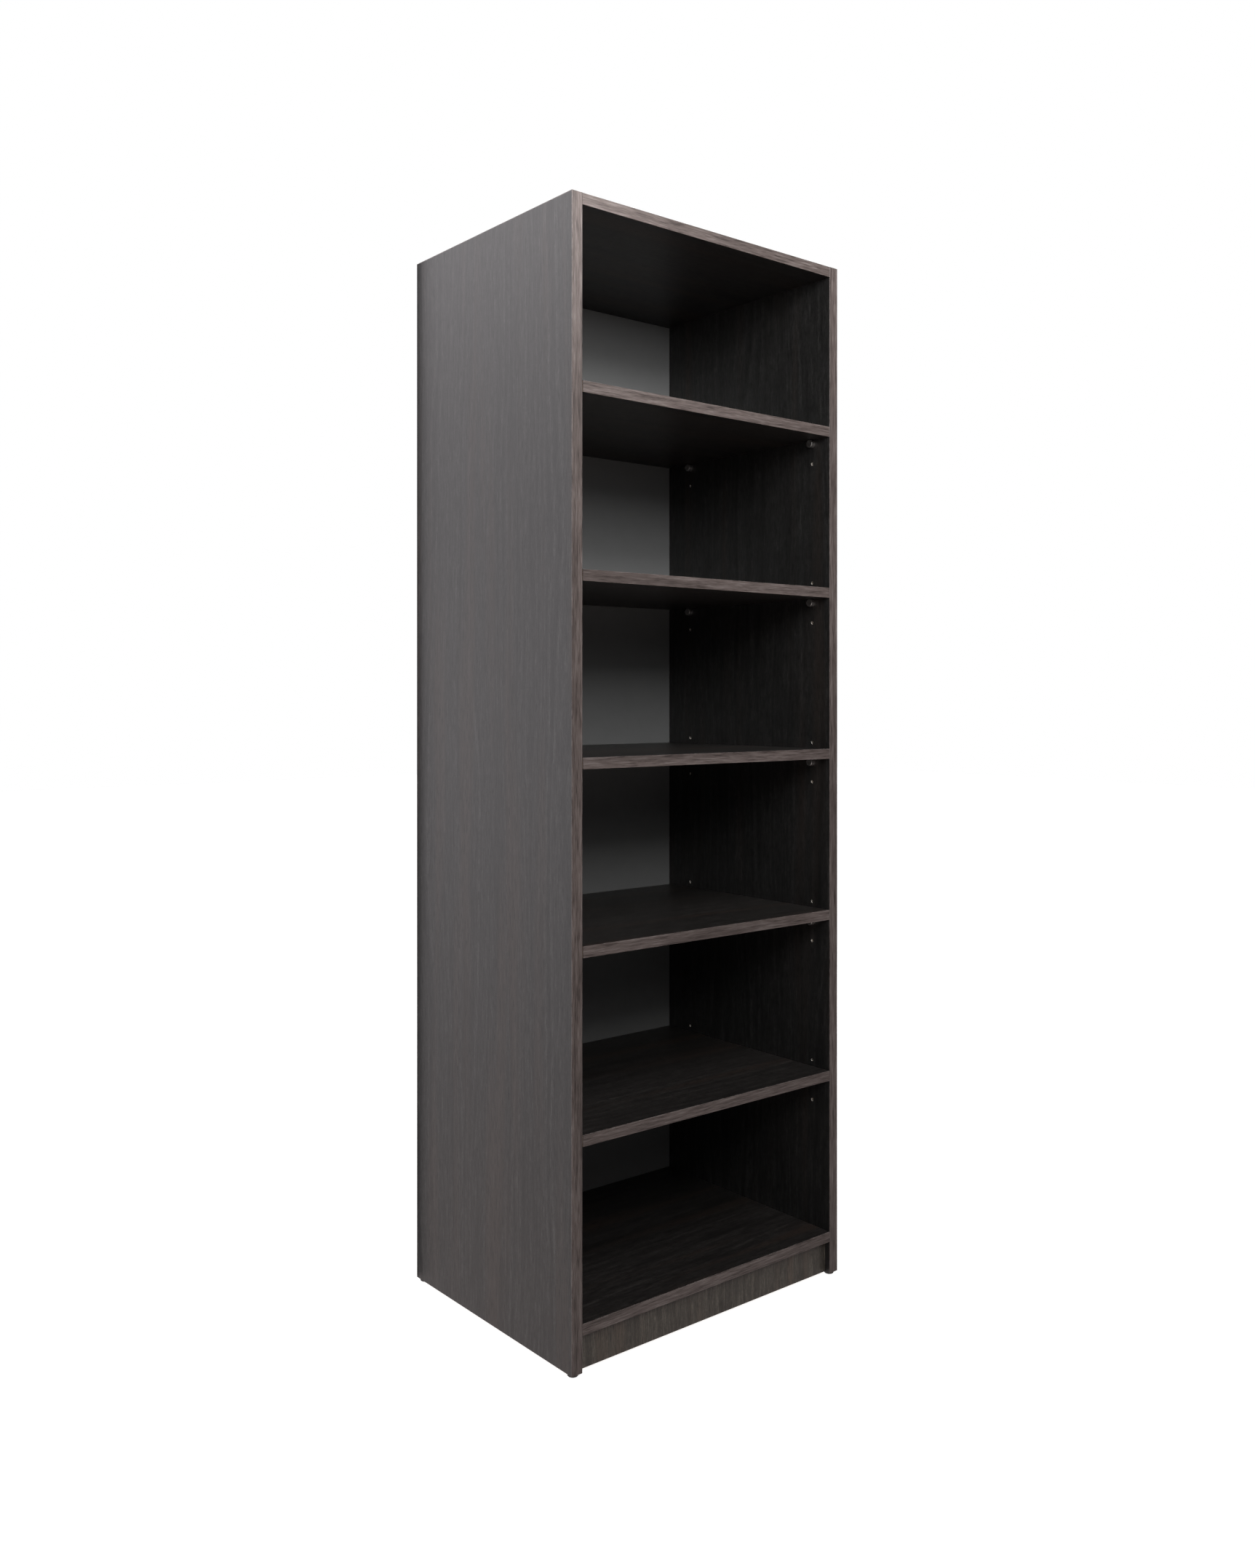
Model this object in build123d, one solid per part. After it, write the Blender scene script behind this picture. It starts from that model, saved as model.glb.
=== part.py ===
from build123d import *
import os

# Bookcase with five adjustable shelves, in millimetres. +Z is up, the open front
# faces -Y, and the origin is on the floor under the middle of the carcass.

# Driving dimensions
CLEAR_WIDTH = 500.0  # between the side panels
DEPTH = 400.0
SIDE_HEIGHT = 1600.0
SIDE_THICKNESS = 18.0
BOARD_THICKNESS = 16.0  # top, bottom, plinth and shelves
BACK_THICKNESS = 3.0
PLINTH_HEIGHT = 50.0
PLINTH_SETBACK = 10.0
SHELF_COUNT = 5

# Line boring of the side panels, on the furniture trade's 32 mm grid
GRID = 32.0
FRONT_COLUMN_INSET = 37.0
COLUMN_SPACING = 9 * GRID
SHELF_SPACING = 8 * GRID
PIN_HOLE_RADIUS = 2.5
PIN_HOLE_DEPTH = 12.0
HOLES_EACH_SIDE_OF_SHELF = 1  # spare holes above and below each used one

# Shelf pins and shelves
PIN_HEAD_RADIUS = 6.0
PIN_HEAD_LENGTH = 8.0
PIN_HEAD_ROUND = 0.6
PIN_SHANK_RADIUS = 2.45
PIN_SHANK_LENGTH = 8.0
PIN_TIP_CHAMFER = 0.5
SHELF_ON_PIN_GAP = 0.3
SHELF_END_GAP = 1.0
SHELF_BACK_GAP = 3.0

# Edging strips
EDGING_THICKNESS = 1.0
EDGING_ROUND = 0.6

# Back panel, held in grooves
BACK_INSET = 16.0  # from its rear face to the rear edge of the sides
GROOVE_SIDE_GAP = 0.2
GROOVE_DEPTH = 7.0
BACK_IN_GROOVE = 6.0

# Glides
GLIDE_RADIUS = 7.5
GLIDE_HEIGHT = 4.0
GLIDE_INSET = 10.0  # from the front and rear edges to a glide's middle
GLIDE_ROUND = 1.2
NAIL_HEAD_RADIUS = 3.0
NAIL_HEAD_HEIGHT = 0.8
NAIL_RADIUS = 1.0
NAIL_LENGTH = 14.0
NAIL_POINT = 2.0

# Cam fittings and dowels
CAM_RADIUS = 7.5
CAM_HEIGHT = 12.5
CAM_SUNK = 0.2  # how far the cam's face lies under the board's face
CAM_BORE_RADIUS = 7.6
CAM_FROM_END = 34.0  # board end to the cam's axis
CAM_TUNNEL_RADIUS = 3.6
CAM_RECESS_LENGTH = 8.0
CAM_RECESS_WIDTH = 1.4
CAM_RECESS_DEPTH = 2.2
BOLT_THREAD_RADIUS = 2.5
BOLT_THREAD_LENGTH = 11.0
BOLT_SHAFT_RADIUS = 3.5
BOLT_SHAFT_LENGTH = 24.0
BOLT_NECK_RADIUS = 2.0
BOLT_HEAD_RADIUS = 3.3
BOLT_BORE_RADIUS = 4.0
DOWEL_RADIUS = 3.95
DOWEL_BORE_RADIUS = 4.0
DOWEL_IN_SIDE = 10.0
DOWEL_IN_BOARD = 20.0
DOWEL_CHAMFER = 1.0
BORE_END_GAP = 1.0  # air past the end of a bolt or dowel

# Derived positions
HALF_CLEAR = CLEAR_WIDTH / 2
HALF_WIDTH = HALF_CLEAR + SIDE_THICKNESS
FRONT = -DEPTH / 2
REAR = DEPTH / 2
BOARD_FRONT = FRONT + EDGING_THICKNESS
SIDE_BOTTOM = GLIDE_HEIGHT
SIDE_TOP = SIDE_BOTTOM + SIDE_HEIGHT
TOP_UNDERSIDE = SIDE_TOP - BOARD_THICKNESS
BOTTOM_UNDERSIDE = SIDE_BOTTOM + PLINTH_HEIGHT
BOTTOM_TOP = BOTTOM_UNDERSIDE + BOARD_THICKNESS
PLINTH_FRONT = FRONT + PLINTH_SETBACK
PLINTH_REAR = PLINTH_FRONT + BOARD_THICKNESS
BACK_REAR = REAR - BACK_INSET
BACK_FRONT = BACK_REAR - BACK_THICKNESS
SHELF_REAR = BACK_FRONT - SHELF_BACK_GAP
COLUMNS = {"front": FRONT + FRONT_COLUMN_INSET, "rear": FRONT + FRONT_COLUMN_INSET + COLUMN_SPACING}
SIDES = {"left": -1, "right": 1}

# Joints of the fixed boards, along the depth and, on the plinth, up its height
DOWEL_Y = [COLUMNS["front"], COLUMNS["rear"]]
CAM_Y = [COLUMNS["front"] + GRID, COLUMNS["rear"] - GRID]
PLINTH_CAM_Z = SIDE_BOTTOM + 34.0
PLINTH_DOWEL_Z = SIDE_BOTTOM + 14.0
PLINTH_MIDDLE_Y = (PLINTH_FRONT + PLINTH_REAR) / 2
FIXED_BOARD_MIDDLE_Z = [BOTTOM_UNDERSIDE + BOARD_THICKNESS / 2, TOP_UNDERSIDE + BOARD_THICKNESS / 2]


def block(x, y, z):
    """A box between the low and high ends given for each axis."""
    size = [high - low for low, high in (x, y, z)]
    middle = [(high + low) / 2 for low, high in (x, y, z)]
    return Pos(*middle) * Box(*size)


def rod_x(x, y, z, radius):
    """A cylinder along X between the two ends in x."""
    low, high = sorted(x)
    return Pos((low + high) / 2, y, z) * Rot(0, 90, 0) * Cylinder(radius, high - low)


def rod_z(x, y, z, radius):
    """A cylinder along Z between the two ends in z."""
    low, high = sorted(z)
    return Pos(x, y, (low + high) / 2) * Cylinder(radius, high - low)


def shelf_underside(number):
    """Height of the underside of a shelf, counted from 1 at the bottom."""
    return BOTTOM_TOP + number * SHELF_SPACING - BOARD_THICKNESS


def pin_height(number):
    """Height of the pin holes that carry a shelf."""
    return shelf_underside(number) - SHELF_ON_PIN_GAP - PIN_HEAD_RADIUS


def save(shape, name):
    """Write one node."""
    export_step(shape, f"parts/{name}.step")


# Fittings, each made about its own origin


def cam_lock():
    """Cam with its face up at Z 0, open towards +X for the bolt, and a cross recess."""
    top = -CAM_SUNK
    body = rod_z(0, 0, (top - CAM_HEIGHT, top), CAM_RADIUS)
    body -= rod_x((-CAM_TUNNEL_RADIUS, CAM_BORE_RADIUS), 0, -BOARD_THICKNESS / 2, CAM_TUNNEL_RADIUS)
    long_way = (-CAM_RECESS_LENGTH / 2, CAM_RECESS_LENGTH / 2)
    short_way = (-CAM_RECESS_WIDTH / 2, CAM_RECESS_WIDTH / 2)
    deep = (top - CAM_RECESS_DEPTH, top)
    body -= block(long_way, short_way, deep)
    body -= block(short_way, long_way, deep)
    return body


def cam_bores():
    """What is cut from a board for one cam, in the frame of cam_lock."""
    bore = rod_z(0, 0, (-CAM_HEIGHT - CAM_SUNK, 0), CAM_BORE_RADIUS)
    return bore + rod_x((0, CAM_FROM_END), 0, -BOARD_THICKNESS / 2, BOLT_BORE_RADIUS)


def cam_bolt():
    """Bolt along +X from a side panel's face at X 0, with its thread on the -X side."""
    bolt = rod_x((-BOLT_THREAD_LENGTH, 0), 0, 0, BOLT_THREAD_RADIUS)
    bolt += rod_x((0, BOLT_SHAFT_LENGTH), 0, 0, BOLT_SHAFT_RADIUS)
    bolt += rod_x((BOLT_SHAFT_LENGTH, CAM_FROM_END), 0, 0, BOLT_NECK_RADIUS)
    return bolt + Pos(CAM_FROM_END, 0, 0) * Sphere(BOLT_HEAD_RADIUS)


def dowel():
    """Dowel along +X from a side panel's face at X 0."""
    length = DOWEL_IN_SIDE + DOWEL_IN_BOARD
    blank = Cylinder(DOWEL_RADIUS, length)
    blank = chamfer(blank.edges().filter_by(GeomType.CIRCLE), DOWEL_CHAMFER)
    return Pos(length / 2 - DOWEL_IN_SIDE, 0, 0) * Rot(0, 90, 0) * blank


def shelf_pin():
    """Pin along +X, with its head out of the wall at X 0 and its shank behind it."""
    head = Cylinder(PIN_HEAD_RADIUS, PIN_HEAD_LENGTH)
    head = fillet(head.edges().filter_by(GeomType.CIRCLE).sort_by(Axis.Z)[-1], PIN_HEAD_ROUND)
    shank = Cylinder(PIN_SHANK_RADIUS, PIN_SHANK_LENGTH)
    shank = chamfer(shank.edges().filter_by(GeomType.CIRCLE).sort_by(Axis.Z)[0], PIN_TIP_CHAMFER)
    pin = Pos(0, 0, PIN_HEAD_LENGTH / 2) * head + Pos(0, 0, -PIN_SHANK_LENGTH / 2) * shank
    return Rot(0, 90, 0) * pin


def glide():
    """Glide under Z 0, hollowed on top for the nail's head."""
    disc = Pos(0, 0, -GLIDE_HEIGHT / 2) * Cylinder(GLIDE_RADIUS, GLIDE_HEIGHT)
    disc = fillet(disc.edges().filter_by(GeomType.CIRCLE).sort_by(Axis.Z)[0], GLIDE_ROUND)
    return disc - rod_z(0, 0, (-NAIL_HEAD_HEIGHT, 0), NAIL_HEAD_RADIUS)


def nail():
    """Nail with its head just under Z 0 and its point up."""
    shank_top = NAIL_LENGTH - NAIL_POINT
    body = rod_z(0, 0, (-NAIL_HEAD_HEIGHT, 0), NAIL_HEAD_RADIUS)
    body += rod_z(0, 0, (0, shank_top), NAIL_RADIUS)
    return body + Pos(0, 0, shank_top + NAIL_POINT / 2) * Cone(NAIL_RADIUS, NAIL_RADIUS / 10, NAIL_POINT)


def facing(side):
    """Turn a fitting that points along +X so that it points inwards from a side."""
    return Rot(0, 0, 0) if side < 0 else Rot(0, 0, 180)


# Where the fittings go: one list of places for each kind, for one of the fixed boards


def at_side(side, y, z):
    """On a side panel's inner face, pointing inwards."""
    return Pos(side * HALF_CLEAR, y, z) * facing(side)


def cam_places(face_z, up):
    """Cams let into the face of a level board, open towards the nearer side panel."""
    places = []
    for side in SIDES.values():
        x = side * (HALF_CLEAR - CAM_FROM_END)
        for y in CAM_Y:
            turn = facing(-side) if up else facing(-side) * Rot(180, 0, 0)
            places.append(Pos(x, y, face_z) * turn)
    return places


def plinth_cam_places():
    """Cams let into the plinth's rear face."""
    places = []
    for side in SIDES.values():
        x = side * (HALF_CLEAR - CAM_FROM_END)
        places.append(Pos(x, PLINTH_REAR, PLINTH_CAM_Z) * Rot(-90, 0, 0) * facing(-side))
    return places


def bolt_places(middle_z):
    return [at_side(side, y, middle_z) for side in SIDES.values() for y in CAM_Y]


def dowel_places(middle_z):
    return [at_side(side, y, middle_z) for side in SIDES.values() for y in DOWEL_Y]


def plinth_places(z):
    return [at_side(side, PLINTH_MIDDLE_Y, z) for side in SIDES.values()]


def placed(shape, places):
    """Copies of a fitting, as separate solids in one group."""
    return Compound(children=[place * shape for place in places])


def bored(board, shape, places):
    """A board with a shape cut out of it at each place."""
    for place in places:
        board -= place * shape
    return board


def dowel_bore():
    """What is cut from a board's end for one dowel, in the frame of dowel."""
    return rod_x((0, DOWEL_IN_BOARD + BORE_END_GAP), 0, 0, DOWEL_BORE_RADIUS)


# Boards


def groove(x, z):
    """The slot for the back panel between two ends along x and z."""
    return block(x, (BACK_FRONT - GROOVE_SIDE_GAP, BACK_REAR + GROOVE_SIDE_GAP), z)


def side_panel(side):
    inner = side * HALF_CLEAR
    outer = side * HALF_WIDTH
    board = block(sorted((inner, outer)), (BOARD_FRONT, REAR), (SIDE_BOTTOM, SIDE_TOP - EDGING_THICKNESS))
    board -= groove(sorted((inner, inner + side * GROOVE_DEPTH)), (SIDE_BOTTOM, SIDE_TOP - EDGING_THICKNESS))
    for number in range(1, SHELF_COUNT + 1):
        for step in range(-HOLES_EACH_SIDE_OF_SHELF, HOLES_EACH_SIDE_OF_SHELF + 1):
            for y in COLUMNS.values():
                z = pin_height(number) + step * GRID
                board -= rod_x((inner, inner + side * PIN_HOLE_DEPTH), y, z, PIN_HOLE_RADIUS)
    bolt_end = inner + side * (BOLT_THREAD_LENGTH + BORE_END_GAP)
    dowel_end = inner + side * (DOWEL_IN_SIDE + BORE_END_GAP)
    for z in FIXED_BOARD_MIDDLE_Z:
        for y in CAM_Y:
            board -= rod_x((inner, bolt_end), y, z, BOLT_THREAD_RADIUS)
        for y in DOWEL_Y:
            board -= rod_x((inner, dowel_end), y, z, DOWEL_BORE_RADIUS)
    board -= rod_x((inner, bolt_end), PLINTH_MIDDLE_Y, PLINTH_CAM_Z, BOLT_THREAD_RADIUS)
    board -= rod_x((inner, dowel_end), PLINTH_MIDDLE_Y, PLINTH_DOWEL_Z, DOWEL_BORE_RADIUS)
    for x, y in glide_places():
        if x * side > 0:
            board -= rod_z(x, y, (SIDE_BOTTOM, SIDE_BOTTOM + NAIL_LENGTH), NAIL_RADIUS)
    return board


def level_board(underside):
    """Top or bottom panel, without its fittings' bores."""
    return block((-HALF_CLEAR, HALF_CLEAR), (BOARD_FRONT, REAR), (underside, underside + BOARD_THICKNESS))


def top_panel():
    board = level_board(TOP_UNDERSIDE)
    board -= groove((-HALF_CLEAR, HALF_CLEAR), (TOP_UNDERSIDE, TOP_UNDERSIDE + GROOVE_DEPTH))
    board = bored(board, cam_bores(), cam_places(SIDE_TOP, up=True))
    return bored(board, dowel_bore(), dowel_places(TOP_UNDERSIDE + BOARD_THICKNESS / 2))


def bottom_panel():
    board = level_board(BOTTOM_UNDERSIDE)
    board -= groove((-HALF_CLEAR, HALF_CLEAR), (BOTTOM_TOP - GROOVE_DEPTH, BOTTOM_TOP))
    board = bored(board, cam_bores(), cam_places(BOTTOM_UNDERSIDE, up=False))
    return bored(board, dowel_bore(), dowel_places(BOTTOM_UNDERSIDE + BOARD_THICKNESS / 2))


def plinth_board():
    board = block((-HALF_CLEAR, HALF_CLEAR), (PLINTH_FRONT, PLINTH_REAR), (SIDE_BOTTOM, BOTTOM_UNDERSIDE))
    board = bored(board, cam_bores(), plinth_cam_places())
    return bored(board, dowel_bore(), plinth_places(PLINTH_DOWEL_Z))


def back_panel():
    """Stands on the floor of the bottom panel's groove and reaches into the other three."""
    half = HALF_CLEAR + BACK_IN_GROOVE
    return block((-half, half), (BACK_FRONT, BACK_REAR), (BOTTOM_TOP - GROOVE_DEPTH, TOP_UNDERSIDE + BACK_IN_GROOVE))


def shelf_board(number):
    half = HALF_CLEAR - SHELF_END_GAP
    underside = shelf_underside(number)
    return block((-half, half), (BOARD_FRONT, SHELF_REAR), (underside, underside + BOARD_THICKNESS))


# Edging strips, with their two long outer edges eased


def eased(strip, along, outer_face_of):
    """Round the edges of a strip that run along one axis on its outermost face."""
    edges = strip.faces().sort_by(outer_face_of)[-1].edges().filter_by(along)
    return fillet(edges, EDGING_ROUND)


def front_edging(half, underside):
    """Strip on the front of a level board, ending at -half and half."""
    strip = block((-half, half), (FRONT, BOARD_FRONT), (underside, underside + BOARD_THICKNESS))
    return eased(strip, Axis.X, -Axis.Y)


def side_front_edging(side):
    x = sorted((side * HALF_CLEAR, side * HALF_WIDTH))
    strip = block(x, (FRONT, BOARD_FRONT), (SIDE_BOTTOM, SIDE_TOP))
    return eased(strip, Axis.Z, -Axis.Y)


def side_top_edging(side):
    x = sorted((side * HALF_CLEAR, side * HALF_WIDTH))
    return block(x, (BOARD_FRONT, REAR), (SIDE_TOP - EDGING_THICKNESS, SIDE_TOP))


def glide_places():
    """Middle of each glide, seen from above."""
    x = HALF_CLEAR + SIDE_THICKNESS / 2
    return [(side * x, y) for side in SIDES.values() for y in (FRONT + GLIDE_INSET, REAR - GLIDE_INSET)]


def write_carcass():
    for name, side in SIDES.items():
        save(side_panel(side), f"{name}_side_panel")
        save(side_front_edging(side), f"{name}_side_front_edging")
        save(side_top_edging(side), f"{name}_side_top_edging")
    save(top_panel(), "top_panel")
    save(front_edging(HALF_CLEAR, TOP_UNDERSIDE), "top_panel_front_edging")
    save(bottom_panel(), "bottom_panel")
    save(front_edging(HALF_CLEAR, BOTTOM_UNDERSIDE), "bottom_panel_front_edging")
    save(plinth_board(), "plinth_board")
    save(back_panel(), "back_panel")


def write_shelves():
    for number in range(1, SHELF_COUNT + 1):
        save(shelf_board(number), f"shelf_{number}_board")
        edging = front_edging(HALF_CLEAR - SHELF_END_GAP, shelf_underside(number))
        save(edging, f"shelf_{number}_front_edging")
        for row, y in COLUMNS.items():
            for name, side in SIDES.items():
                save(at_side(side, y, pin_height(number)) * shelf_pin(), f"shelf_{number}_pin_{row}_{name}")


def write_glides():
    for (x, y), place in zip(glide_places(), ("front_left", "rear_left", "front_right", "rear_right")):
        save(Pos(x, y, SIDE_BOTTOM) * glide(), f"glide_{place}")
    save(placed(nail(), [Pos(x, y, SIDE_BOTTOM) for x, y in glide_places()]), "glide_nails")


def write_fittings():
    bottom_middle, top_middle = FIXED_BOARD_MIDDLE_Z
    save(placed(cam_lock(), cam_places(SIDE_TOP, up=True)), "top_cam_locks")
    save(placed(cam_bolt(), bolt_places(top_middle)), "top_cam_bolts")
    save(placed(dowel(), dowel_places(top_middle)), "top_dowels")
    save(placed(cam_lock(), cam_places(BOTTOM_UNDERSIDE, up=False)), "bottom_cam_locks")
    save(placed(cam_bolt(), bolt_places(bottom_middle)), "bottom_cam_bolts")
    save(placed(dowel(), dowel_places(bottom_middle)), "bottom_dowels")
    save(placed(cam_lock(), plinth_cam_places()), "plinth_cam_locks")
    save(placed(cam_bolt(), plinth_places(PLINTH_CAM_Z)), "plinth_cam_bolts")
    save(placed(dowel(), plinth_places(PLINTH_DOWEL_Z)), "plinth_dowels")


os.makedirs("parts", exist_ok=True)
write_carcass()
write_shelves()
write_glides()
write_fittings()
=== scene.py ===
import math

import bpy
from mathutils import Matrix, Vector


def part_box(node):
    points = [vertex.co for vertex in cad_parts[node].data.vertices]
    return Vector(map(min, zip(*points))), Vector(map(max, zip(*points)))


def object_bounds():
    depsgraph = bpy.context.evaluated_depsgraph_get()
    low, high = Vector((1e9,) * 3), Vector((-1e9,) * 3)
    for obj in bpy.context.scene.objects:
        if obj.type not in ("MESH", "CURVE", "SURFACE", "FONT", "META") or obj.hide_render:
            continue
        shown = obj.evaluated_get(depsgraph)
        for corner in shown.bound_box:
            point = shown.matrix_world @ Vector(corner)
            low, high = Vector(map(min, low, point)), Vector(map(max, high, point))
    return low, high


# A tall open bookcase of dark wood-grain boards with taupe edging, a grey back
# panel, nickel shelf pins and dark nail-on glides. Metres, +Z up, front at -Y.
# Every CAD node keeps its mesh and gets a procedural finish.

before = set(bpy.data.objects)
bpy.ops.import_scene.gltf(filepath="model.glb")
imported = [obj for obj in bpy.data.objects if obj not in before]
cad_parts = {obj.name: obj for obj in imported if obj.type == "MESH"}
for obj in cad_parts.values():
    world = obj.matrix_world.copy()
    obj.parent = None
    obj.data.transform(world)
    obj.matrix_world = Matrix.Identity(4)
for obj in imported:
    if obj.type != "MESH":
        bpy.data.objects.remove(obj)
cad_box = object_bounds()

X, Y, Z = 0, 1, 2
MM = 0.001

SIDES = ("left", "right")
ROWS = ("front", "rear")
SHELVES = (1, 2, 3, 4, 5)

# ---------------------------------------------------------------- node helpers


class Net:
    """The node tree of a material or a world, with short calls for its nodes."""

    def __init__(self, block):
        block.use_nodes = True
        self.tree = block.node_tree
        self.tree.nodes.clear()

    def add(self, kind, sockets=None, **settings):
        made = self.tree.nodes.new(kind)
        for name, value in settings.items():
            setattr(made, name, value)
        for name, value in (sockets or {}).items():
            self.put(made.inputs[name], value)
        return made

    def put(self, socket, value):
        if isinstance(value, bpy.types.NodeSocket):
            self.tree.links.new(value, socket)
        else:
            socket.default_value = value

    def place(self):
        """The place in the frame at rest, as every piece has its origin there."""
        return self.add("ShaderNodeTexCoord").outputs["Object"]

    def math(self, operation, *values):
        return self.add("ShaderNodeMath", dict(enumerate(values)), operation=operation).outputs[0]

    def vector(self, operation, *values):
        made = self.add("ShaderNodeVectorMath", dict(enumerate(values)), operation=operation)
        return made.outputs["Value" if operation == "DOT_PRODUCT" else "Vector"]

    def split(self, vector):
        return self.add("ShaderNodeSeparateXYZ", {0: vector}).outputs

    def noise(self, vector, scale, detail=2.0, roughness=0.5):
        """Cloudy noise around 0.5, with scale in waves per metre."""
        sockets = {"Vector": vector, "Scale": scale, "Detail": detail, "Roughness": roughness}
        return self.add("ShaderNodeTexNoise", sockets).outputs[0]

    def cells(self, vector, scale):
        return self.add("ShaderNodeTexVoronoi", {"Vector": vector, "Scale": scale})

    def span(self, value, low, high, start=0.0, end=1.0):
        """value from low..high to start..end, smooth at both ends and held there."""
        sockets = {"Value": value, "From Min": low, "From Max": high, "To Min": start, "To Max": end}
        return self.add("ShaderNodeMapRange", sockets, interpolation_type="SMOOTHSTEP").outputs[0]

    def weighted(self, *parts):
        """The sum of (share, value) pairs."""
        terms = [self.math("MULTIPLY", value, share) for share, value in parts]
        total = terms[0]
        for term in terms[1:]:
            total = self.math("ADD", total, term)
        return total

    def mix(self, factor, a, b):
        sockets = {0: factor, 6: colour(a), 7: colour(b)}
        return self.add("ShaderNodeMix", sockets, data_type="RGBA").outputs[2]

    def blend(self, factor, a, b):
        return self.add("ShaderNodeMix", {0: factor, 2: a, 3: b}, data_type="FLOAT").outputs[0]

    def bump(self, height, depth, strength):
        sockets = {"Height": height, "Distance": depth, "Strength": strength}
        return self.add("ShaderNodeBump", sockets).outputs[0]


def colour(value):
    """An RGB triple as the RGBA that a colour socket takes; a socket as it is."""
    return (*value, 1.0) if isinstance(value, tuple) and len(value) == 3 else value


def shade(base, factor):
    return tuple(factor * part for part in base)


def surface(net, **sockets):
    """The Principled shader and the output of a material."""
    named = {name.replace("_", " "): colour(value) for name, value in sockets.items()}
    shader = net.add("ShaderNodeBsdfPrincipled", named)
    net.add("ShaderNodeOutputMaterial", {"Surface": shader.outputs[0]})


def new_net(name):
    made = bpy.data.materials.new(name)
    return made, Net(made)


def moved(net, place, seed):
    """The place shifted by a seed, so that no two pieces show the same pattern."""
    far = 20
    shift = Vector((math.sin(seed * 1.7), math.sin(seed * 2.3 + 1), math.sin(seed * 3.1 + 2)))
    return net.vector("ADD", place, tuple(shift * far))


def stretched(net, place, axis, factor):
    """The place multiplied along one axis: noise on it is 1 / factor as long there."""
    scale = [1.0, 1.0, 1.0]
    scale[axis] = factor
    return net.vector("MULTIPLY", place, tuple(scale))


def streaks(net, place, grain, along, scale, detail=2.0, roughness=0.5):
    """Noise drawn out along the grain axis by 1 / along."""
    return net.noise(stretched(net, place, grain, along), scale, detail, roughness)


def edge_distance(net, place, low, high):
    """How far a point on a box is from the nearest edge of the box, in metres."""
    centre, half = (low + high) / 2, (high - low) / 2
    from_centre = net.vector("ABSOLUTE", net.vector("SUBTRACT", place, tuple(centre)))
    a, b, c = net.split(net.vector("SUBTRACT", tuple(half), from_centre))
    smaller, larger = net.math("MINIMUM", a, b), net.math("MAXIMUM", a, b)
    return net.math("MAXIMUM", smaller, net.math("MINIMUM", larger, c))


def edge_wear(net, own, near_edge, reach, patches, rubbed):
    """Rubbed patches along the edges: how worn, from 0 to 1."""
    rub = net.noise(own, patches, detail=3.0, roughness=0.65)
    return net.math("MULTIPLY", net.span(near_edge, reach, 0.1 * MM), net.span(rub, *rubbed))


# ------------------------------------------------------------------ materials

# A face within the outer depth is printed or lacquered, and past the inner depth it is raw.
SKIN_OUTER, SKIN_INNER = 0.15 * MM, 0.35 * MM

LAMINATE_DARK = (0.0105, 0.0094, 0.0092)
LAMINATE_MID = (0.0265, 0.0242, 0.0234)
LAMINATE_LIGHT = (0.073, 0.0675, 0.0645)
LAMINATE_BROWN = (0.043, 0.0305, 0.0255)

# What the print of a board is multiplied by, and how strong its dark and brown bands are. The factors
# are painted light and shade on one and the same laminate: brighter on the sides, far brighter on the
# plinth, darker on the shelves and the top.
SIDE_PAINTED_LIGHT = (1.12, 1.20, 1.21)
SHELF_PAINTED_SHADE = (0.96, 0.94, 0.92)
TOP_PAINTED_SHADE = (0.78, 0.79, 0.80)
PLINTH_PAINTED_LIGHT = (2.85, 2.8, 2.4)
UPRIGHT_BANDS, FLAT_BANDS = 1.0, 1.6

EDGING_DARK = (0.035, 0.0258, 0.0232)
EDGING_MID = (0.114, 0.0905, 0.0835)
EDGING_LIGHT = (0.245, 0.213, 0.203)

CHIP_DARK = (0.22, 0.140, 0.080)
CHIP_MID = (0.52, 0.395, 0.265)
CHIP_LIGHT = (0.76, 0.640, 0.480)
BORE_NEAR_WHITE = (0.86, 0.83, 0.78)

BACK_GREY = (0.205, 0.207, 0.206)
HARDBOARD = (0.20, 0.118, 0.066)

NICKEL = (0.93, 0.92, 0.89)
ZINC = (0.50, 0.50, 0.51)
STEEL = (0.56, 0.56, 0.57)

BEECH_DARK = (0.50, 0.33, 0.19)
BEECH_LIGHT = (0.66, 0.48, 0.31)
BEECH_FLECK = (0.34, 0.19, 0.10)

GLIDE_BLACK = (0.035, 0.033, 0.031)
GLIDE_WORN = (0.13, 0.12, 0.11)

# Pin holes lie farther inside a board's outline than its raw edges reach.
BORE_FROM, BORE_TO = 12 * MM, 20 * MM

PLASTIC_IOR = 1.5
BEECH_IOR = 1.45


def chipboard(net, place, thin):
    """Raw chipboard, with its flakes pressed flat across the board: (colour, pits)."""
    flat = stretched(net, place, thin, 2.2)
    flakes = net.cells(flat, scale=620.0)
    dust = net.noise(flat, scale=2400.0, detail=3.0, roughness=0.7)
    tone = net.split(flakes.outputs["Color"])[0]
    base = net.mix(net.span(tone, 0.05, 0.95), CHIP_DARK, CHIP_LIGHT)
    base = net.mix(net.math("MULTIPLY", dust, 0.8), base, CHIP_MID)
    pits = net.math("ADD", flakes.outputs["Distance"], net.math("MULTIPLY", dust, 0.6))
    return base, pits


def growth_rings(net, place, grain, across):
    """Lines along the grain, unevenly spaced across it and wandering a little."""
    wander = 0.11
    drift = streaks(net, place, grain, along=0.18, scale=7.0)
    ring_place = net.math("ADD", net.split(place)[across], net.math("MULTIPLY", drift, wander))
    ring_point = net.add("ShaderNodeCombineXYZ", {0: ring_place}).outputs[0]
    return net.noise(ring_point, scale=115.0, detail=3.0, roughness=0.62)


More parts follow.
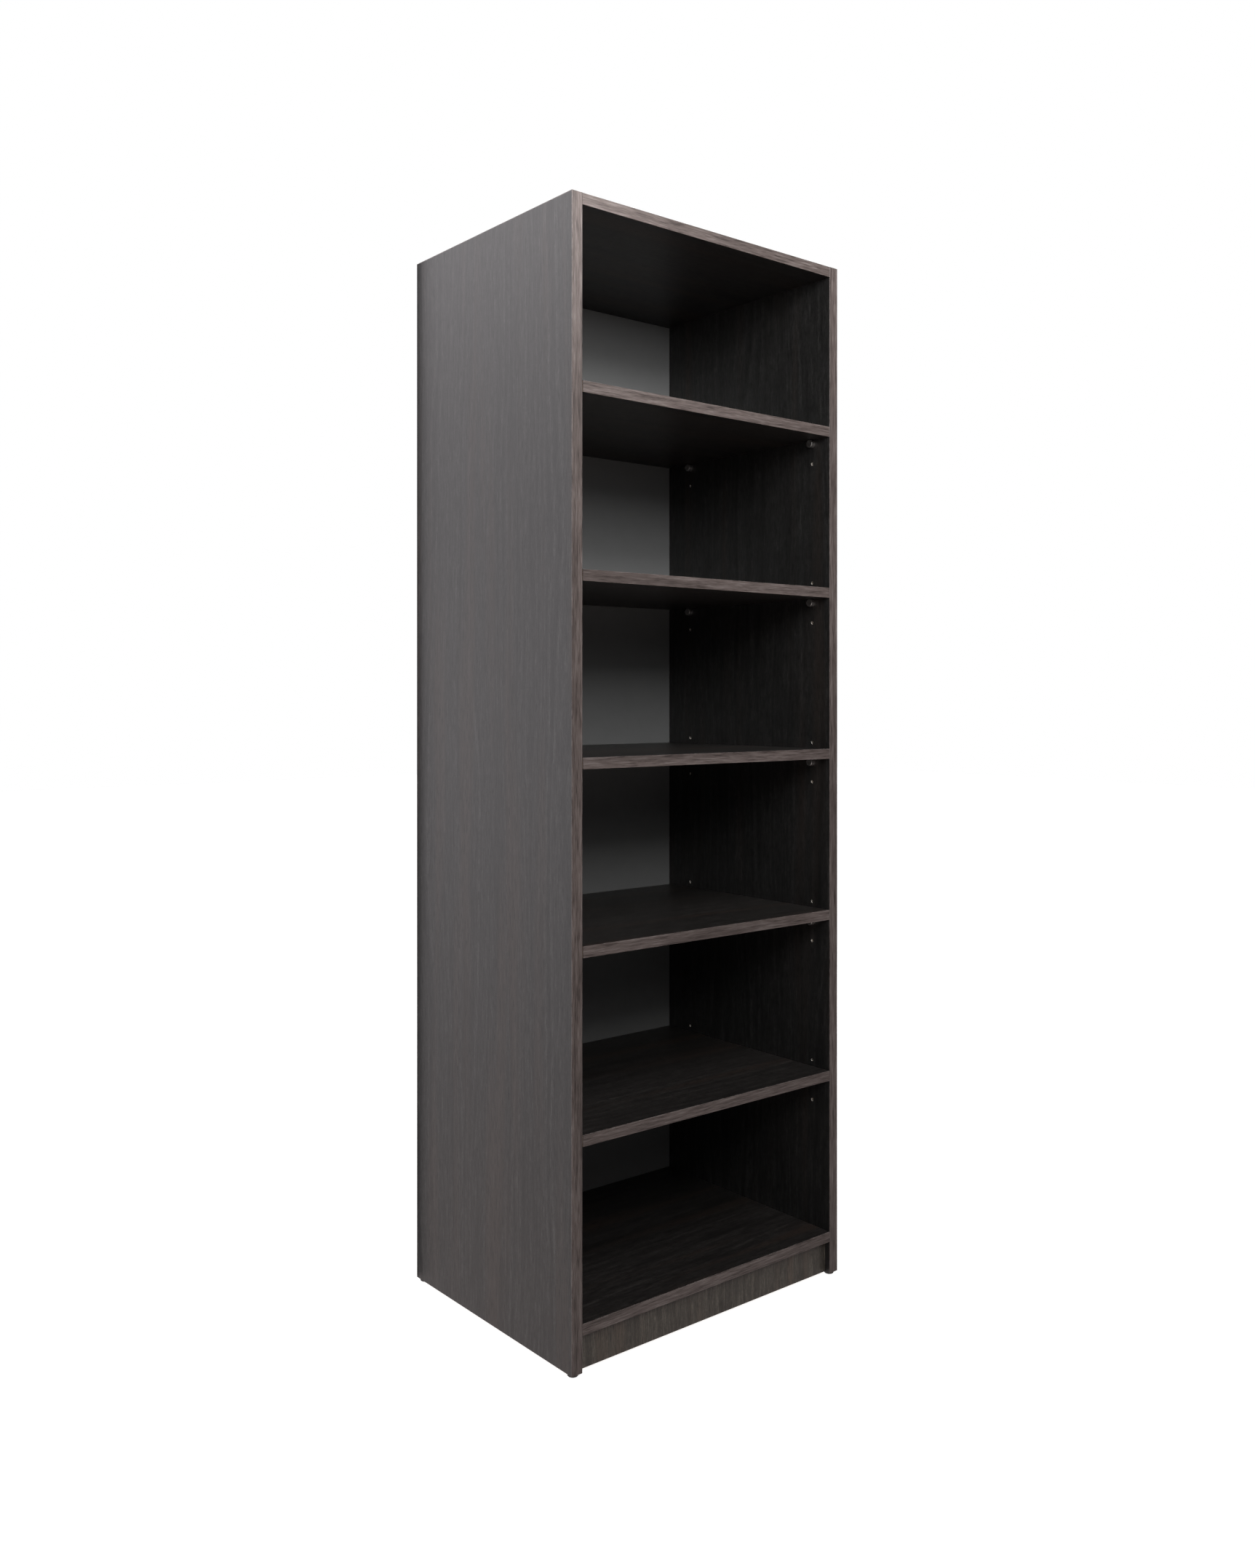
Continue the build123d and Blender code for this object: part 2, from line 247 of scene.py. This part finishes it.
def wood_figure(net, place, grain, across, bands):
    """The printed dark oak of the boards: (colour, pores, tone)."""
    ring = growth_rings(net, place, grain, across)
    medium = streaks(net, place, grain, along=0.15, scale=170.0, detail=4.0, roughness=0.65)
    fine = streaks(net, place, grain, along=0.13, scale=560.0, detail=3.0, roughness=0.7)
    fleck = streaks(net, place, grain, along=0.55, scale=420.0, detail=3.0, roughness=0.7)
    tone = net.weighted((0.34, ring), (0.28, medium), (0.18, fine), (0.20, fleck))
    base = net.mix(net.span(tone, 0.36, 0.54), LAMINATE_DARK, LAMINATE_MID)
    base = net.mix(net.span(tone, 0.49, 0.68, end=0.8), base, LAMINATE_LIGHT)
    dark = streaks(net, place, grain, along=0.10, scale=38.0, detail=3.0, roughness=0.6)
    base = net.mix(net.span(dark, 0.52, 0.68, end=0.45 * bands), base, LAMINATE_DARK)
    brown = streaks(net, place, grain, along=0.05, scale=26.0)
    base = net.mix(net.span(brown, 0.50, 0.72, end=0.5 * bands), base, LAMINATE_BROWN)
    pores = net.span(streaks(net, place, grain, along=0.06, scale=1050.0), 0.32, 0.48)
    base = net.mix(pores, LAMINATE_DARK, base)
    return base, pores, tone


def board_material(node, thin, grain, seed, painted_light_and_shade, bands=UPRIGHT_BANDS):
    """Laminated faces over a chipboard core, for one board."""
    low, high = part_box(node)
    made, net = new_net(f"{node}_finish")
    place = net.place()
    own = moved(net, place, seed)
    across = X + Y + Z - thin - grain
    wood, pores, tone = wood_figure(net, own, grain, across, bands)
    raw, pits = chipboard(net, own, thin)

    middle, half = (low[thin] + high[thin]) / 2, (high[thin] - low[thin]) / 2
    from_middle = net.math("ABSOLUTE", net.math("SUBTRACT", net.split(place)[thin], middle))
    printed = net.span(from_middle, half - SKIN_INNER, half - SKIN_OUTER)
    near_edge = edge_distance(net, place, low, high)
    # Deep inside the board's outline, in the pin holes, the raw core is made near white.
    raw = net.mix(net.span(near_edge, BORE_FROM, BORE_TO, end=0.8), raw, BORE_NEAR_WHITE)
    worn = edge_wear(net, own, near_edge, reach=1.1 * MM, patches=60.0, rubbed=(0.50, 0.68))
    wood = net.mix(net.math("MULTIPLY", worn, 0.55), wood, LAMINATE_LIGHT)
    # The print is made brighter or darker board by board: painted light and shade.
    base = net.mix(printed, raw, net.vector("MULTIPLY", wood, painted_light_and_shade))

    satin = net.math("ADD", net.span(pores, 0.0, 1.0, 0.42, 0.39), net.math("MULTIPLY", tone, 0.04))
    rough = net.blend(printed, 0.85, satin)
    relief = net.weighted((0.6, pores), (0.4, tone))
    height = net.blend(printed, net.math("MULTIPLY", pits, 3.0), relief)
    normal = net.bump(height, 0.04 * MM, strength=0.3)
    surface(net, Base_Color=base, Roughness=rough, Normal=normal, IOR=PLASTIC_IOR)
    return made


def edging_material(node, grain, seed):
    """The 1 mm plastic edging: lighter taupe with fine grain along its length."""
    low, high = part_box(node)
    made, net = new_net(f"{node}_finish")
    place = net.place()
    own = moved(net, place, seed)
    broad = streaks(net, own, grain, along=0.05, scale=60.0)
    medium = streaks(net, own, grain, along=0.06, scale=330.0, detail=3.0, roughness=0.6)
    fine = streaks(net, own, grain, along=0.05, scale=1100.0, roughness=0.6)
    tone = net.weighted((0.55, medium), (0.45, fine))
    base = net.mix(net.span(tone, 0.34, 0.52), EDGING_DARK, EDGING_MID)
    base = net.mix(net.math("MULTIPLY", net.span(tone, 0.50, 0.66), 0.6), base, EDGING_LIGHT)
    base = net.mix(net.span(broad, 0.40, 0.70, end=0.35), base, EDGING_DARK)
    near_edge = edge_distance(net, place, low, high)
    worn = edge_wear(net, own, near_edge, reach=0.9 * MM, patches=90.0, rubbed=(0.42, 0.66))
    base = net.mix(net.math("MULTIPLY", worn, 0.5), base, EDGING_LIGHT)
    rough = net.span(tone, 0.35, 0.65, 0.46, 0.38)
    normal = net.bump(tone, 0.05 * MM, strength=0.45)
    surface(net, Base_Color=base, Roughness=rough, Normal=normal, IOR=PLASTIC_IOR)
    return made


def back_material(node, seed):
    """Grey lacquer on the front of a thin hardboard, raw brown board behind."""
    low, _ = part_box(node)
    made, net = new_net(f"{node}_finish")
    place = net.place()
    own = moved(net, place, seed)
    mottle = net.noise(own, scale=45.0, detail=4.0, roughness=0.55)
    grit = net.noise(own, scale=1600.0, detail=3.0, roughness=0.6)
    fibre = streaks(net, own, X, along=0.25, scale=420.0, detail=4.0, roughness=0.7)
    grey = net.mix(net.span(mottle, 0.3, 0.7, end=0.16), BACK_GREY, shade(BACK_GREY, 0.82))
    grey = net.mix(net.span(grit, 0.35, 0.65, end=0.10), grey, shade(BACK_GREY, 1.2))
    brown = net.mix(net.span(fibre, 0.32, 0.68), shade(HARDBOARD, 0.62), shade(HARDBOARD, 1.4))
    brown = net.mix(net.span(mottle, 0.35, 0.7, end=0.35), brown, shade(HARDBOARD, 0.8))
    front = net.span(net.split(place)[Y], low[Y] + SKIN_INNER, low[Y] + SKIN_OUTER)
    base = net.mix(front, brown, grey)
    fibrous = net.span(fibre, 0.3, 0.7, 0.82, 0.66)
    lacquered = net.span(grit, 0.3, 0.7, 0.50, 0.58)
    rough = net.blend(front, fibrous, lacquered)
    height = net.blend(front, fibre, net.math("MULTIPLY", grit, 0.5))
    normal = net.bump(height, 0.05 * MM, strength=0.5)
    surface(net, Base_Color=base, Roughness=rough, Normal=normal, IOR=PLASTIC_IOR)
    return made


def metal_material(name, tint, rough, along, depth, seed):
    """Bare or plated metal with fine machining marks and a little handling dulling."""
    made, net = new_net(name)
    own = moved(net, net.place(), seed)
    marks = streaks(net, own, X, along, scale=2600.0, detail=3.0, roughness=0.6)
    haze = net.noise(own, scale=240.0, detail=3.0, roughness=0.6)
    base = net.mix(net.span(haze, 0.35, 0.7, end=0.35), tint, shade(tint, 0.72))
    dulled = net.span(net.weighted((0.5, marks), (0.5, haze)), 0.35, 0.65, *rough)
    normal = net.bump(marks, depth, strength=0.5)
    surface(net, Base_Color=base, Roughness=dulled, Normal=normal, Metallic=1.0)
    return made


def beech_material(seed):
    """Beech with its grain along the dowels, which all lie along X."""
    made, net = new_net("beech_finish")
    own = moved(net, net.place(), seed)
    fleck = streaks(net, own, X, along=0.15, scale=1500.0, detail=3.0, roughness=0.6)
    grain = streaks(net, own, X, along=0.05, scale=500.0, detail=3.0, roughness=0.6)
    base = net.mix(net.span(grain, 0.35, 0.65), BEECH_DARK, BEECH_LIGHT)
    base = net.mix(net.span(fleck, 0.55, 0.72, end=0.5), base, BEECH_FLECK)
    rough = net.span(grain, 0.35, 0.65, 0.62, 0.74)
    normal = net.bump(grain, 0.04 * MM, strength=0.6)
    surface(net, Base_Color=base, Roughness=rough, Normal=normal, IOR=BEECH_IOR)
    return made


def glide_material(seed):
    """Dark moulded plastic, scuffed grey where it stands on the floor."""
    made, net = new_net("glide_plastic_finish")
    place = net.place()
    own = moved(net, place, seed)
    grit = net.noise(own, scale=3200.0, roughness=0.6)
    scuff = streaks(net, own, X, along=0.2, scale=500.0, detail=4.0, roughness=0.7)
    low = net.span(net.split(place)[Z], 2.0 * MM, 0.0)
    worn = net.math("MULTIPLY", low, net.span(scuff, 0.45, 0.62))
    base = net.mix(worn, GLIDE_BLACK, GLIDE_WORN)
    rough = net.span(grit, 0.35, 0.65, 0.42, 0.58)
    normal = net.bump(grit, 0.03 * MM, strength=0.5)
    surface(net, Base_Color=base, Roughness=rough, Normal=normal, IOR=PLASTIC_IOR)
    return made


def dress(node, material):
    """Gives a CAD node its finish."""
    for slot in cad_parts[node].material_slots:
        slot.material = material


def dress_sides():
    for seed, side in enumerate(SIDES, start=1):
        panel, front, top = (f"{side}_side_{part}" for part in ("panel", "front_edging", "top_edging"))
        dress(panel, board_material(panel, X, Z, seed, SIDE_PAINTED_LIGHT))
        dress(front, edging_material(front, Z, seed + 20))
        dress(top, edging_material(top, Y, seed + 22))


def dress_flat_boards():
    for seed, name, tone in ((3, "top_panel", TOP_PAINTED_SHADE), (4, "bottom_panel", SHELF_PAINTED_SHADE)):
        edging = f"{name}_front_edging"
        dress(name, board_material(name, Z, X, seed, tone, FLAT_BANDS))
        dress(edging, edging_material(edging, X, seed + 24))
    for n in SHELVES:
        board, edging = f"shelf_{n}_board", f"shelf_{n}_front_edging"
        dress(board, board_material(board, Z, X, n + 6, SHELF_PAINTED_SHADE, FLAT_BANDS))
        dress(edging, edging_material(edging, X, n + 30))


def dress_plinth_and_back():
    dress("plinth_board", board_material("plinth_board", Y, Z, 5, PLINTH_PAINTED_LIGHT))
    dress("back_panel", back_material("back_panel", 6))


def dress_fittings():
    nickel = metal_material("nickel_finish", NICKEL, (0.36, 0.46), along=1.0, depth=0.008 * MM, seed=1)
    zinc = metal_material("cam_zinc_finish", ZINC, (0.38, 0.58), along=1.0, depth=0.02 * MM, seed=2)
    steel = metal_material("steel_finish", STEEL, (0.26, 0.44), along=0.2, depth=0.012 * MM, seed=3)
    glide, beech = glide_material(seed=4), beech_material(seed=9)
    for row in ROWS:
        for side in SIDES:
            dress(f"glide_{row}_{side}", glide)
            for n in SHELVES:
                dress(f"shelf_{n}_pin_{row}_{side}", nickel)
    dress("glide_nails", steel)
    for where in ("top", "bottom", "plinth"):
        dress(f"{where}_cam_locks", zinc)
        dress(f"{where}_cam_bolts", steel)
        dress(f"{where}_dowels", beech)


# ------------------------------------------------------------ stage and lights

CAMERA_AT = Vector((-1.3677, -1.6202, 0.9203))
CAMERA_YAW = math.radians(38.79)
CAMERA_LENS = 30.62
CAMERA_SENSOR = 36.0
CAMERA_SHIFT = (0.01995, -0.0555)

# Soft boxes: (name, place, the point it faces, width, height, watts, spread in degrees)
LIGHTS = (
    ("key", (-0.4, -2.1, 2.0), (-0.08, 0.0, 1.65), 0.5, 0.8, 19.0, 180.0),
    ("near", (0.0, -1.25, 2.1), (0.0, 0.0, 1.65), 0.4, 0.6, 14.5, 180.0),
    ("left", (-1.4, -2.1, 1.8), (-0.28, 0.0, 1.45), 0.5, 0.9, 7.4, 180.0),
    ("right_rear", (2.2, 1.1, 1.7), (0.27, 0.1, 0.8), 1.0, 1.6, 60.0, 180.0),
    ("corner", (-0.45, -0.55, 1.75), (-0.26, -0.15, 1.6), 0.2, 0.2, 0.25, 60.0),
)

# Brightness by the sine of a direction's height: of the dim studio all round, lit
# only where its pale floor lies, and of the bright backdrop towards the left rear.
STUDIO_STOPS = ((-1.0, 0.04), (-0.5, 0.80), (-0.25, 0.04), (0.2, 0.12), (0.4, 0.04), (1.0, 0.04))
BACKDROP_STOPS = (
    (-0.45, 0.0), (-0.25, 0.86), (0.0, 1.75), (0.2, 1.0), (0.4, 3.5), (0.7, 5.7), (1.0, 0.0),
)
BACKDROP_TOWARDS = (-0.5523, 0.8336, 0.0)
BACKDROP_NARROWNESS = 4.0
STUDIO_TINT = (1.0, 0.96, 0.99)
FLOOR_TINT = (1.0, 0.88, 0.85)
WHITE = (1.0, 1.0, 1.0, 1.0)

FLOOR_HALF = 12.0
FLOOR_DARK, FLOOR_PALE = (0.50, 0.50, 0.50), (0.54, 0.54, 0.54)
FLOOR_GLOW = 0.85

FLAG_WIDTH = 15 * MM
FLAG_BESIDE, FLAG_BEHIND, FLAG_ABOVE = 2 * MM, 12 * MM, 100 * MM
FLAG_DARK, FLAG_PALE = (0.006, 0.006, 0.006), (0.012, 0.012, 0.012)


def place_in_scene(data, at, rotation):
    made = bpy.data.objects.new(data.name, data)
    made.location = at
    made.rotation_euler = rotation
    bpy.context.scene.collection.objects.link(made)
    return made


def make_camera():
    data = bpy.data.cameras.new("camera")
    data.lens = CAMERA_LENS
    data.sensor_width = CAMERA_SENSOR
    data.shift_x, data.shift_y = CAMERA_SHIFT
    data.clip_start, data.clip_end = 0.05, 60.0
    level = (math.pi / 2, 0.0, -CAMERA_YAW)
    bpy.context.scene.camera = place_in_scene(data, CAMERA_AT, level)


def make_lights():
    for name, at, aim, width, height, watts, spread in LIGHTS:
        data = bpy.data.lights.new(name, "AREA")
        data.shape = "RECTANGLE"
        data.size, data.size_y = width, height
        data.energy = watts
        data.spread = math.radians(spread)
        facing = (Vector(aim) - Vector(at)).to_track_quat("-Z", "Y").to_euler()
        place_in_scene(data, at, facing).visible_camera = False


def by_height(net, height, stops):
    """A brightness that follows stops of (sine of the height angle, value)."""
    ramp = net.add("ShaderNodeValToRGB", {0: net.math("MULTIPLY_ADD", height, 0.5, 0.5)})
    brightest = max(value for _, value in stops)
    points = ramp.color_ramp.elements
    points[0].position, points[1].position = (stops[0][0] + 1) / 2, (stops[-1][0] + 1) / 2
    for at, _ in stops[1:-1]:
        points.new((at + 1) / 2)
    for point, (_, value) in zip(points, stops):
        point.color = (value / brightest,) * 3 + (1.0,)
    return net.math("MULTIPLY", ramp.outputs[0], brightest)


def make_world():
    """The studio as light and reflection, with plain white behind for the camera."""
    world = bpy.data.worlds.new("studio")
    bpy.context.scene.world = world
    net = Net(world)
    direction = net.add("ShaderNodeTexCoord").outputs["Generated"]
    height = net.split(direction)[Z]
    level = net.vector("NORMALIZE", net.vector("MULTIPLY", direction, (1.0, 1.0, 0.0)))
    facing = net.math("MAXIMUM", net.vector("DOT_PRODUCT", level, BACKDROP_TOWARDS), 0.0)
    facing = net.math("POWER", facing, BACKDROP_NARROWNESS)
    backdrop = net.math("MULTIPLY", facing, by_height(net, height, BACKDROP_STOPS))
    light = net.math("ADD", by_height(net, height, STUDIO_STOPS), backdrop)
    tint = net.mix(net.span(height, -0.45, -0.15), FLOOR_TINT, STUDIO_TINT)
    lit = net.add("ShaderNodeBackground", {"Color": tint, "Strength": light})
    seen = net.add("ShaderNodeBackground", {"Color": WHITE, "Strength": 1.0})
    is_camera = net.add("ShaderNodeLightPath").outputs["Is Camera Ray"]
    both = net.add("ShaderNodeMixShader", {0: is_camera, 1: lit.outputs[0], 2: seen.outputs[0]})
    net.add("ShaderNodeOutputWorld", {"Surface": both.outputs[0]})


def stage_plane(name, corners, material):
    """A single flat face, placed in the scene."""
    mesh = bpy.data.meshes.new(name)
    mesh.from_pydata(corners, [], [(0, 1, 2, 3)])
    mesh.materials.append(material)
    made = place_in_scene(mesh, (0.0, 0.0, 0.0), (0.0, 0.0, 0.0))
    return made


def floor_material():
    """Pale paper, and nothing at all from below, so that the underside can be seen."""
    made, net = new_net("floor_paper")
    base = net.mix(net.noise(net.place(), scale=3.0), FLOOR_DARK, FLOOR_PALE)
    paper = net.add("ShaderNodeBsdfPrincipled", {
        "Base Color": base, "Roughness": 0.9, "Specular IOR Level": 0.0,
        "Emission Color": WHITE, "Emission Strength": FLOOR_GLOW,
    })
    clear = net.add("ShaderNodeBsdfTransparent")
    underneath = net.add("ShaderNodeNewGeometry").outputs["Backfacing"]
    either = net.add("ShaderNodeMixShader", {0: underneath, 1: paper.outputs[0], 2: clear.outputs[0]})
    net.add("ShaderNodeOutputMaterial", {"Surface": either.outputs[0]})
    return made


def make_floor():
    """Only the camera sees the floor: its light on the bookcase is the studio's."""
    h = FLOOR_HALF
    corners = [(-h, -h, 0.0), (h, -h, 0.0), (h, h, 0.0), (-h, h, 0.0)]
    floor = stage_plane("floor", corners, floor_material())
    floor.visible_diffuse = False
    floor.visible_glossy = False
    floor.visible_shadow = False


def flag_material():
    made, net = new_net("flag_black")
    nap = net.noise(net.place(), scale=900.0, roughness=0.6)
    base = net.mix(nap, FLAG_DARK, FLAG_PALE)
    surface(net, Base_Color=base, Roughness=0.95, Specular_IOR_Level=0.0)
    return made


def make_flag():
    """A narrow black card behind the rear left edge, seen only in reflections."""
    right = cad_box[0][X] - FLAG_BESIDE
    left = right - FLAG_WIDTH
    back, top = cad_box[1][Y] + FLAG_BEHIND, cad_box[1][Z] + FLAG_ABOVE
    corners = [(left, back, 0.0), (right, back, 0.0), (right, back, top), (left, back, top)]
    flag = stage_plane("flag", corners, flag_material())
    flag.visible_camera = False
    flag.visible_diffuse = False
    flag.visible_shadow = False


dress_sides()
dress_flat_boards()
dress_plinth_and_back()
dress_fittings()
make_camera()
make_lights()
make_world()
make_floor()
make_flag()

bpy.context.scene.view_settings.view_transform = "Standard"
